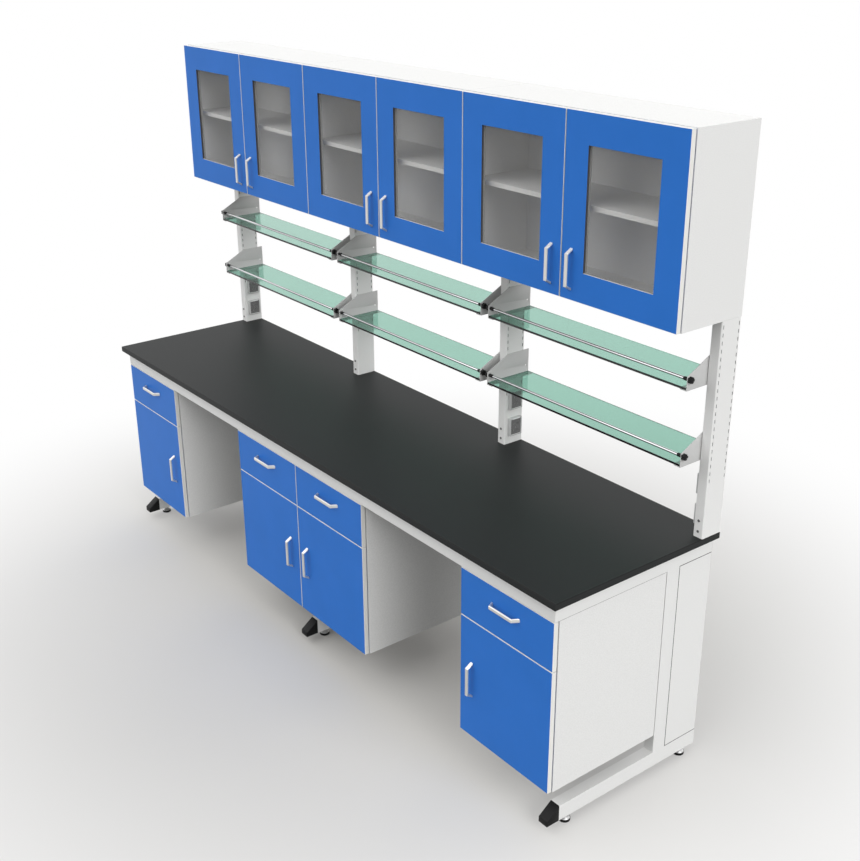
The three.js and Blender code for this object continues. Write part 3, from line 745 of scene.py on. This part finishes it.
def bracket(name, face_x):
    """A sheet bracket with a sloping front, a flange under the glass and a hanging hole."""
    outer = face_x + SEAT
    top = BRACKET_FOOT_Z + BRACKET_HEIGHT
    plate = start_block(name, (outer, BRACKET_FRONT_Y, BRACKET_FOOT_Z),
                        (outer + SHEET, BRACKET_BACK_Y, top))
    rise = BRACKET_HEIGHT - BRACKET_NOSE
    slice_piece(plate, (outer, BRACKET_FRONT_Y, top - rise), (0, -rise, BRACKET_SLOPE))
    slice_piece(plate, (outer, 0, BRACKET_FOOT_Z + SHEET), (0, 0, 1), keep_all=True)
    pick_facing(plate, (1, 0, 0), lambda middle: middle.z < BRACKET_FOOT_Z + SHEET)
    push((FLANGE, 0, 0))
    hole_ends = ((outer + reach, *HANGING_HOLE) for reach in (-HOLE_TOOL_REACH, HOLE_TOOL_REACH))
    drill(plate, start_round("hole", *hole_ends, HANGING_HOLE_RADIUS, sides=20))
    round_edges(plate, BRACKET_ROUND)
    hooks = [bracket_hook(face_x, y, z) for y in HOOK_YS for z in HOOK_ZS]
    return join_pieces(plate, *hooks)


def guard_rod(name, left, right):
    rod = start_round(name, (left, ROD_Y, ROD_Z), (right, ROD_Y, ROD_Z), ROD_RADIUS)
    round_edges(rod, ROD_ROUND)
    return rod


def rod_ferrule(name, inner_x):
    end = inner_x + FERRULE_LENGTH
    ferrule = start_round(name, (inner_x, ROD_Y, ROD_Z), (end, ROD_Y, ROD_Z), FERRULE_RADIUS)
    pick_facing(ferrule, (1, 0, 0))
    bpy.ops.mesh.inset(thickness=FERRULE_STEP)
    push((FERRULE_NOSE, 0, 0))
    round_edges(ferrule, FERRULE_ROUND)
    return ferrule


def rod_knob(name, outer_x):
    """A star knob that clamps the rod from outside the bracket."""
    face_middle = (outer_x, ROD_Y, ROD_Z)
    knob = start_round(name, (outer_x - KNOB_LENGTH, ROD_Y, ROD_Z), face_middle,
                       KNOB_RADIUS, sides=4 * KNOB_LOBES)

    def in_valley(corner):
        """One corner in four lies between two lobes."""
        turn = math.atan2(corner.co.z - ROD_Z, corner.co.y - ROD_Y) * KNOB_LOBES
        return math.cos(turn) < VALLEY_COSINE

    pick(knob, "VERT", in_valley)
    bpy.ops.transform.resize(value=(1, KNOB_VALLEY, KNOB_VALLEY), center_override=face_middle)
    leave_edit()
    pick_facing(knob, (-1, 0, 0))
    bpy.ops.mesh.inset(thickness=KNOB_CROWN_INSET)
    push((-KNOB_CROWN, 0, 0))
    round_edges(knob, KNOB_ROUND, segments=3, angle=40)
    return knob


def build_brackets():
    """One bay's set on the lower tier, then its copies along the posts and on the tier above."""
    left_face = FIRST_POST_X + POST_WIDTH / 2
    right_face = FIRST_POST_X + POST_PITCH - POST_WIDTH / 2
    middle = (left_face + right_face) / 2
    inner = left_face + SEAT + SHEET
    sides = [
        (bracket("shelf_bracket_left", left_face), "bracket", "steel_white"),
        (rod_ferrule("rod_ferrule_left", inner), "black", "plastic_black"),
        (rod_knob("rod_knob_left", left_face + SEAT), "black", "plastic_black"),
    ]
    models = []
    for piece, finish, slot in sides:
        models.append(dress(piece, finish, "bench"))
        right_name = piece.name.replace("left", "right")
        models.append(repeat(piece, right_name, mirror_x(middle), "bench"))
    rod = guard_rod("guard_rod", inner, 2 * middle - inner)
    models.append(dress(rod, "rod", "bench"))
    for bay in BAYS:
        for tier in TIERS:
            lift = TIER_STEP * TIERS.index(tier)
            place = Matrix.Translation(((bay - 1) * POST_PITCH, 0, lift))
            for model in models:
                copied = repeat(model, f"{model.name}_{bay}_{tier}", place, "bench")
                if model.name == "shelf_bracket_left":
                    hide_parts(f"shelf_cradle_{bay}_{tier}")
    for model in models:
        bpy.data.objects.remove(model)


# Feet

def foot_cap(name, middle_x):
    half = POST_WIDTH / 2 + CAP_OVER
    low, high = FOOT_Z[0] - CAP_OVER, FOOT_Z[1] + CAP_OVER
    front, back = CAP_FRONT_Y - CAP_OVER, CAP_FRONT_Y + CAP_LENGTH
    cap = start_block(name, (middle_x - half, front, low), (middle_x + half, back, high))
    nose = FOOT_Z[0] + CAP_NOSE + CAP_OVER
    slice_piece(cap, (middle_x, front, nose), (0, nose - high, back - front))
    round_edges(cap, CAP_ROUND, segments=3)
    return cap


def pad_rubber(name, x, y):
    pad = start_round(name, (x, y, PAD_BOTTOM), (x, y, PAD_TOP), PAD_RADIUS, sides=48)
    round_edges(pad, PAD_ROUND, segments=3)
    return pad


def pad_stem(name, x, y):
    """A pressed steel cup on the pad, a nut on it and the threaded stem."""
    cup = start_round(name, (x, y, CUP_BOTTOM), (x, y, CUP_TOP), CUP_RADIUS, sides=48)
    pick_facing(cup, (0, 0, 1))
    bpy.ops.transform.resize(value=(CUP_TAPER, CUP_TAPER, 1), center_override=(x, y, CUP_TOP))
    bpy.ops.mesh.inset(thickness=STEM_STEP)
    push((0, 0, FOOT_Z[0] - CUP_TOP))
    round_edges(cup, CUP_ROUND, segments=3)
    nut = start_round("nut", (x, y, CUP_TOP), (x, y, CUP_TOP + NUT_HEIGHT), NUT_RADIUS, sides=6)
    round_edges(nut, NUT_ROUND)
    return join_pieces(cup, nut)


def build_feet():
    first_x, first_y = FRAME_XS[0], PAD_YS[0]
    cap = foot_cap("foot_cap_1", first_x)
    dress(cap, "black", "bench")
    rubber = pad_rubber("levelling_pad_1", first_x, first_y)
    dress(rubber, "black", "bench")
    stem = pad_stem("levelling_stem_1", first_x, first_y)
    dress(stem, "zinc", "bench", smooth=25)
    for count, x in enumerate(FRAME_XS[1:], 2):
        repeat(cap, f"foot_cap_{count}", Matrix.Translation((x - first_x, 0, 0)), "bench")
    places = [(x, y) for y in PAD_YS for x in FRAME_XS][1:]
    for count, (x, y) in enumerate(places, 2):
        place = Matrix.Translation((x - first_x, y - first_y, 0))
        repeat(rubber, f"levelling_pad_{count}", place, "bench")
        repeat(stem, f"levelling_stem_{count}", place, "bench")


# Seals in the grooves round the service covers

def cover_seal(name, outer_x):
    """A bar along the front of the groove, with arms along its bottom and its top."""
    (front, back), (low, high) = SEAL_Y, SEAL_Z
    arm_edges = low + SEAL_WIDTH, high - SEAL_WIDTH
    seal = start_block(name, (outer_x - SEAL_DEPTH, front, low),
                       (outer_x + SEAL_OVER, front + SEAL_WIDTH, high))
    for z in arm_edges:
        slice_piece(seal, (outer_x, 0, z), (0, 0, 1), keep_all=True)
    pick_facing(seal, (0, 1, 0), lambda middle: not arm_edges[0] < middle.z < arm_edges[1])
    push((0, back - front - SEAL_WIDTH, 0))
    round_edges(seal, SEAL_ROUND)
    return seal


def build_seals():
    seal = cover_seal("cover_seal_right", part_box("c_frame_right")[1].x)
    dress(seal, "black", "bench")
    repeat(seal, "cover_seal_left", mirror_x(0.0), "bench")


# Post fittings

def power_socket(name, face_x, z):
    """A housing with a sunk face plate and five pin holes."""
    y = POST_MIDDLE_Y
    half_y, half_z = (half + SOCKET_OVER for half in SOCKET_HALF)
    outer = face_x + SOCKET_DEPTH + SOCKET_OVER
    socket = start_block(name, (face_x + SOCKET_SEAT, y - half_y, z - half_z),
                         (outer, y + half_y, z + half_z))
    round_edges(socket, SOCKET_ROUND)
    pick_facing(socket, (1, 0, 0))
    bpy.ops.mesh.inset(thickness=SOCKET_RIM)
    push((-SOCKET_RECESS, 0, 0))
    sunk_x = outer - SOCKET_RECESS
    pick_facing(socket, (1, 0, 0), lambda middle: abs(middle.x - sunk_x) < WELD)
    bpy.ops.mesh.inset(thickness=FACE_PLATE_GAP)
    push((FACE_PLATE, 0, 0))
    paint(socket, FINISHES["socket"])
    plate_x = sunk_x + FACE_PLATE
    paint_faces(socket, FINISHES["socket_face"],
                lambda face: face.normal.x > SQUARE and abs(face.center.x - plate_x) < WELD)
    # Painted shade: near black on the groove floor round the face plate and in the drilled pin
    # holes
    paint_faces(socket, FINISHES["recess_shade"],
                lambda face: face.normal.x > SQUARE and face.center.x < plate_x - WELD)
    for dy, dz in PIN_PLACES:
        middle = Vector((plate_x, y + dy, z + dz))
        pin = start_block("pin", middle - PIN_HALF, middle + PIN_HALF)
        paint(pin, FINISHES["recess_shade"])
        drill(socket, pin)
    return socket


def socket_tab(name, face_x, z):
    outer = face_x + SOCKET_DEPTH
    (back_x, front_x), (low, high) = TAB_XS, TAB_ZS
    tab = start_block(name, (outer + back_x, POST_MIDDLE_Y - TAB_HALF_WIDTH, z + low),
                      (outer + front_x, POST_MIDDLE_Y + TAB_HALF_WIDTH, z + high))
    round_edges(tab, TAB_ROUND, segments=3)
    return tab


def post_screw(name, x, z):
    screw = start_round(name, (x, POST_FRONT_Y, z), (x, POST_FRONT_Y - SCREW_HEIGHT, z),
                        SCREW_RADIUS, sides=24)
    round_edges(screw, SCREW_ROUND, segments=3)
    bottom, top = ((x, y, z) for y in SCREW_SOCKET_YS)
    drill(screw, start_round("socket", bottom, top, SCREW_SOCKET_RADIUS, sides=6))
    return screw


def build_post_fittings():
    face = FIRST_POST_X + POST_WIDTH / 2
    socket = power_socket("power_socket_1_low", face, SOCKET_ZS[0])
    hand_over(socket, "bench")
    tab = socket_tab("socket_tab_1_low", face, SOCKET_ZS[0])
    dress(tab, "socket_tab", "bench")
    turned = half_turn(FIRST_POST_X, POST_MIDDLE_Y)
    for post, side in SOCKET_POSTS:
        for level, z in zip(LEVELS, SOCKET_ZS):
            if (post, level) == (0, "low"):
                continue
            place = Matrix.Translation((post * POST_PITCH, 0, z - SOCKET_ZS[0]))
            place = place if side > 0 else place @ turned
            repeat(socket, f"power_socket_{post + 1}_{level}", place, "bench")
            repeat(tab, f"socket_tab_{post + 1}_{level}", place, "bench")
    screw = post_screw("post_screw_1_low", FIRST_POST_X, SCREW_ZS[0])
    dress(screw, "screw", "bench")
    for post in range(POSTS):
        for level, z in zip(LEVELS, SCREW_ZS):
            if (post, level) != (0, "low"):
                place = Matrix.Translation((post * POST_PITCH, 0, z - SCREW_ZS[0]))
                repeat(screw, f"post_screw_{post + 1}_{level}", place, "bench")


# Door hinges

def hinge_arm(name, wall_x, front_y, z):
    """An arm on a wall plate, reaching to just behind the closed door."""
    back = front_y + HINGE_REACH
    arm = start_block(name, (wall_x, front_y - HINGE_ARM_TIP, z - HINGE_ARM_HALF),
                      (wall_x + HINGE_ARM, back, z + HINGE_ARM_HALF))
    round_edges(arm, HINGE_ARM_ROUND, segments=3)
    pick_facing(arm, (1, 0, 0))
    bpy.ops.mesh.inset(thickness=HINGE_GROOVE_INSET)
    push((-HINGE_GROOVE, 0, 0))
    plate_front, plate_back = (back + y for y in HINGE_PLATE_YS)
    plate = start_block("plate", (wall_x, plate_front, z - HINGE_PLATE_HALF),
                        (wall_x + HINGE_PLATE, plate_back, z + HINGE_PLATE_HALF))
    round_edges(plate, HINGE_PLATE_ROUND)
    return join_pieces(arm, plate)


def hinge_ears(name, edge_x, door_y, z):
    """The two ears of the hinge cup, screwed to the back of the door."""
    ears = []
    left, right = (edge_x + x for x in EAR_XS)
    screw_x, screw_z = EAR_SCREW
    for side in (-1, 1):
        low, high = sorted(z + side * height for height in EAR_ZS)
        ear = start_block(name, (left, door_y, low), (right, door_y + EAR_SHEET, high))
        round_edges(ear, EAR_ROUND)
        head_ends = ((edge_x + screw_x, door_y + y, z + side * screw_z) for y in EAR_SCREW_YS)
        head = start_round("head", *head_ends, EAR_SCREW_RADIUS, sides=20)
        round_edges(head, EAR_SCREW_ROUND)
        ears += [ear, head]
    return join_pieces(*ears)


def build_hinges():
    """Two hinges to a door; the arms behind the panes are coated white."""
    doors = []
    for count in range(1, BASE_DOORS + 1):
        low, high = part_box(f"base_door_{count}")
        doors.append((f"base_door_{count}", low, high, count <= 2, BASE_WALL_FRONT_Y))
    for count in range(1, WALL_DOORS + 1):
        low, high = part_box(f"wall_door_{count}")
        doors.append((f"wall_door_{count}", low, high, count % 2 == 1, WALL_UNIT_FRONT_Y))
    name, low, high, _, front = doors[0]
    edge, z = low.x, low.z + HINGE_INSET
    arm = hinge_arm("hinge_arm_model", edge - DOOR_GAP + BASE_WALL, front, z)
    dress(arm, "zinc", "bench")
    ears = hinge_ears("hinge_ears_model", edge, high.y, z)
    dress(ears, "zinc", f"{name}_set")
    for other, door_low, door_high, hinged_left, door_front in doors:
        heights = (door_low.z + HINGE_INSET, door_high.z - HINGE_INSET)
        for level, height in zip(LEVELS, heights):
            move = Matrix.Translation((0, door_front - front, height - z))
            if hinged_left:
                place = Matrix.Translation((door_low.x - edge, 0, 0)) @ move
            else:
                place = mirror_x((door_high.x + edge) / 2) @ move
            fitted = repeat(arm, f"hinge_arm_{other}_{level}", place, "bench")
            if other.startswith("wall_door"):
                paint(fitted, FINISHES["coat"])
            repeat(ears, f"hinge_ears_{other}_{level}", place, f"{other}_set")
    for model in (arm, ears):
        bpy.data.objects.remove(model)


# Pegs under the shelf of the wall cabinet

def shelf_peg(name, wall_x, y):
    peg = start_round(name, (wall_x, y, PEG_Z), (wall_x + PEG_LENGTH, y, PEG_Z),
                      PEG_RADIUS, sides=20)
    round_edges(peg, PEG_ROUND)
    return peg


def build_pegs():
    peg = shelf_peg("shelf_peg_1_left_front", UNITS_LEFT_X + UNIT_WALL, PEG_YS[0])
    dress(peg, "zinc", "bench")
    middle = UNITS_LEFT_X + UNIT_LENGTH / 2
    for unit in range(WALL_UNITS):
        for side, turn in (("left", Matrix()), ("right", mirror_x(middle))):
            for end, y in zip(("front", "back"), PEG_YS):
                if (unit, side, end) != (0, "left", "front"):
                    place = Matrix.Translation((unit * UNIT_LENGTH, y - PEG_YS[0], 0)) @ turn
                    repeat(peg, f"shelf_peg_{unit + 1}_{side}_{end}", place, "bench")


# Glazing strips round the door panes

def glazing_strip(name, low, high, back_y):
    pane_gap, back_gap = STRIP_GAPS
    strip = start_block(name, (low.x, high.y + pane_gap, low.z),
                        (high.x, back_y - back_gap, high.z))
    pick(strip, "FACE", lambda face: abs(face.normal.y) > SQUARE)
    bpy.ops.mesh.inset(thickness=STRIP_WIDTH)
    bpy.ops.mesh.bridge_edge_loops()
    leave_edit()
    round_edges(strip, STRIP_ROUND)
    return strip


def build_glazing():
    low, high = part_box("wall_door_glass_1")
    strip = glazing_strip("glazing_strip_1", low, high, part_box("wall_door_1")[1].y)
    dress(strip, "bead", "wall_door_1_set")
    for count in range(2, WALL_DOORS + 1):
        place = Matrix.Translation((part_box(f"wall_door_glass_{count}")[0].x - low.x, 0, 0))
        repeat(strip, f"glazing_strip_{count}", place, f"wall_door_{count}_set")


# Stage: pale floor, soft light and the camera

CAMERA_PLACE = (3.74738, -2.60296, 2.80447)
CAMERA_RIGHT = Vector((0.61497, 0.78854, -0.00411))
CAMERA_DOWN = Vector((0.30705, -0.24427, -0.91981))
CAMERA_FORWARD = Vector((-0.72631, 0.56439, -0.39234))
CAMERA_LENS = 50.926
CAMERA_SENSOR = 36
CAMERA_REACH = 200
FLOOR_SIZE = 120
FLOOR_Z = -0.0004
FLOOR_SHADE = (0.6, 0.59, 0.571)
FLOOR_BOUNCE = (0.18, 0.18, 0.178)
FLOOR_FADE = (0.7, 3.0)
SKY_LIGHT = 0.1
LAMPS = (  # name, direction of the light, strength, softness in degrees
    ("right_softbox", (-0.91, 0.06, -0.41), 2.4, 45),
    ("top_softbox", (0, 0, -1), 1.0, 120),
    ("front_softbox", (0.1, 0.85, -0.5), 1.28, 60),
    ("back_softbox", (0.12, -0.95, -0.28), 0.8, 50),
    ("left_softbox", (0.75, 0.3, -0.59), 0.8, 60),
)


def build_camera():
    data = bpy.data.cameras.new("bench_camera")
    camera = bpy.data.objects.new("bench_camera", data)
    bpy.context.collection.objects.link(camera)
    turn = Matrix((CAMERA_RIGHT, -CAMERA_DOWN, -CAMERA_FORWARD)).transposed().to_4x4()
    camera.matrix_world = Matrix.Translation(CAMERA_PLACE) @ turn
    data.lens = CAMERA_LENS
    data.sensor_width = CAMERA_SENSOR
    data.clip_end = CAMERA_REACH
    bpy.context.scene.camera = camera


def seen_directly(tree):
    """1 for rays from the camera and for those seen in gloss or through glass."""
    path = tree.nodes.new("ShaderNodeLightPath")
    total = path.outputs["Is Camera Ray"]
    for name in ("Is Glossy Ray", "Is Transmission Ray"):
        either = tree.nodes.new("ShaderNodeMath")
        either.operation = "MAXIMUM"
        tree.links.new(total, either.inputs[0])
        tree.links.new(path.outputs[name], either.inputs[1])
        total = either.outputs[0]
    return total


def build_floor():
    """A pale floor that fades into the white background round the bench."""
    deselect_all()
    bpy.ops.mesh.primitive_plane_add(size=FLOOR_SIZE, location=(0, 0, FLOOR_Z))
    floor = settle(bpy.context.object, "floor")
    finish = Finish("pale_floor", FLOOR_SHADE, roughness=0.8, **{"Specular IOR Level": 0.1})
    seen = seen_directly(finish.tree)
    finish.colour(finish.mix(seen, FLOOR_BOUNCE, FLOOR_SHADE))
    distance = finish.node("ShaderNodeVectorMath", operation="LENGTH")
    finish.link(finish.coordinates("Object"), distance.inputs[0])
    fade = finish.node("ShaderNodeMapRange", interpolation_type="SMOOTHSTEP")
    for socket, value in zip(("From Min", "From Max"), FLOOR_FADE):
        fade.inputs[socket].default_value = value
    finish.link(distance.outputs["Value"], fade.inputs["Value"])
    white = finish.node("ShaderNodeEmission")
    mix = finish.node("ShaderNodeMixShader")
    finish.link(finish.math("MULTIPLY", fade.outputs["Result"], seen), mix.inputs[0])
    finish.link(finish.shader.outputs["BSDF"], mix.inputs[1])
    finish.link(white.outputs["Emission"], mix.inputs[2])
    finish.link(mix.outputs["Shader"], finish.tree.nodes["Material Output"].inputs["Surface"])
    paint(floor, finish.material)


def build_light():
    world = bpy.data.worlds.new("studio")
    world.use_nodes = True
    tree = world.node_tree
    tree.nodes.clear()
    seen, light = (tree.nodes.new("ShaderNodeBackground") for _ in range(2))
    for background in (seen, light):
        background.inputs["Color"].default_value = (1, 1, 1, 1)
    light.inputs["Strength"].default_value = SKY_LIGHT
    mix = tree.nodes.new("ShaderNodeMixShader")
    tree.links.new(seen_directly(tree), mix.inputs[0])
    tree.links.new(light.outputs[0], mix.inputs[1])
    tree.links.new(seen.outputs[0], mix.inputs[2])
    output = tree.nodes.new("ShaderNodeOutputWorld")
    tree.links.new(mix.outputs[0], output.inputs["Surface"])
    bpy.context.scene.world = world
    for name, towards, strength, softness in LAMPS:
        data = bpy.data.lights.new(name, "SUN")
        data.energy = strength
        data.angle = math.radians(softness)
        lamp = bpy.data.objects.new(name, data)
        bpy.context.collection.objects.link(lamp)
        lamp.rotation_euler = Vector(towards).to_track_quat("-Z", "Y").to_euler()


dress_nodes()
build_brackets()
build_feet()
build_seals()
build_post_fittings()
build_hinges()
build_pegs()
build_glazing()
build_camera()
build_floor()
build_light()
bpy.context.scene.view_settings.view_transform = "Standard"
